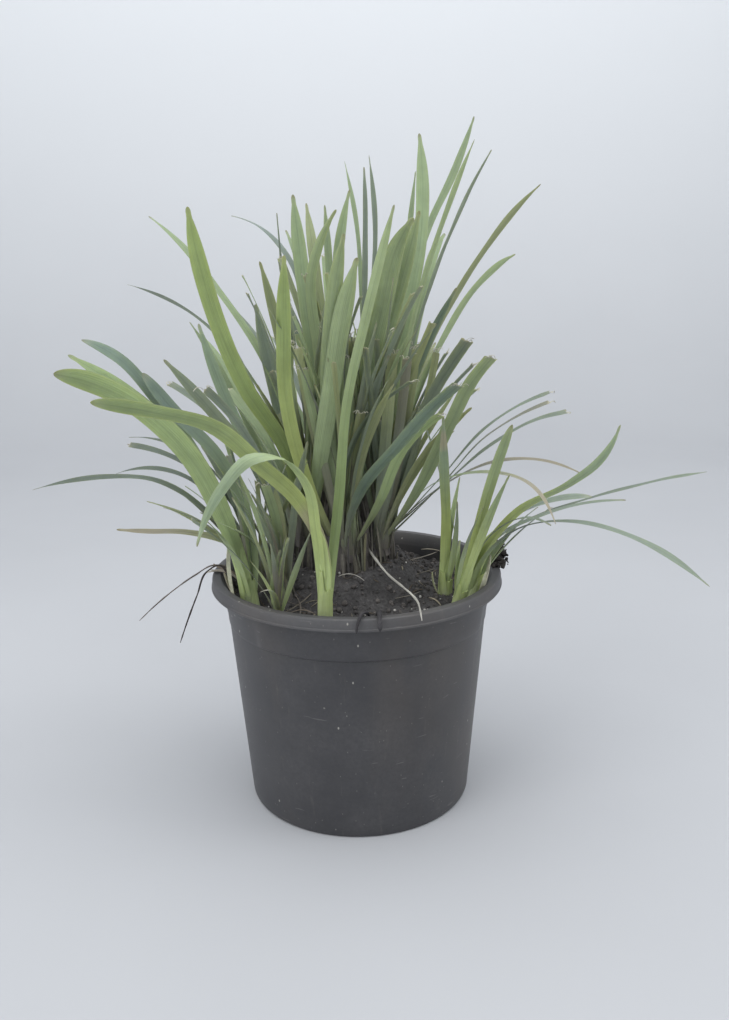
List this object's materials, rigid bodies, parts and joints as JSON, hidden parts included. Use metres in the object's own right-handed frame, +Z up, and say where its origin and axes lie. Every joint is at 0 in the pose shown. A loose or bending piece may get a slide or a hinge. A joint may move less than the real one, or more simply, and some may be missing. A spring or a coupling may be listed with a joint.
{
  "type": "liriope in a nursery pot",
  "caption": "Clump of strap-like liriope leaves, some pointed and some cut short, growing in soil in a round plastic nursery pot with an overhanging rim.",
  "frame": {"origin": "centre of the pot's flat underside", "axes": "+Z up out of the pot, -Y the front with the folded pale leaf, +X to the right seen from the front"},
  "size_m": [0.4305, 0.293, 0.4422],
  "materials": {
    "pot_plastic": "satin black, dusty and a little scratched",
    "soil": "damp dark peat with fibres and pale grains",
    "old_sheath": "dry fibrous leaf sheath",
    "leaf_young": "satin, pale yellow green at the foot",
    "leaf_green": "satin, with fine long veins",
    "leaf_dark": "satin, with fine long veins",
    "root_pale": "smooth, fleshy",
    "root_dark": "dry, wiry"
  },
  "bodies": {
    "root": {"pot": "pot_plastic", "soil": "soil", "sheath_mound": "old_sheath", "fan_left": "leaf_young", "fan_left_mid": "leaf_green", "shoot_left": "leaf_young", "tuft_low_left": "leaf_green", "fan_front": "leaf_young", "tuft_left": "leaf_dark", "tuft_front": "leaf_green", "tuft_centre": "leaf_dark", "tuft_right": "leaf_dark", "tuft_back": "leaf_dark", "tuft_back_right": "leaf_dark", "fan_back_left": "leaf_green", "fan_right_inner": "leaf_young", "fan_right_mid": "leaf_young", "fan_right_outer": "leaf_green", "root_cream": "root_pale", "root_loop_left": "root_dark", "root_loop_right": "root_dark", "root_left_long": "root_dark", "root_left_short": "root_dark", "sheath_dry": "old_sheath", "crumb_heap": "soil"}
  },
  "joints": []
}
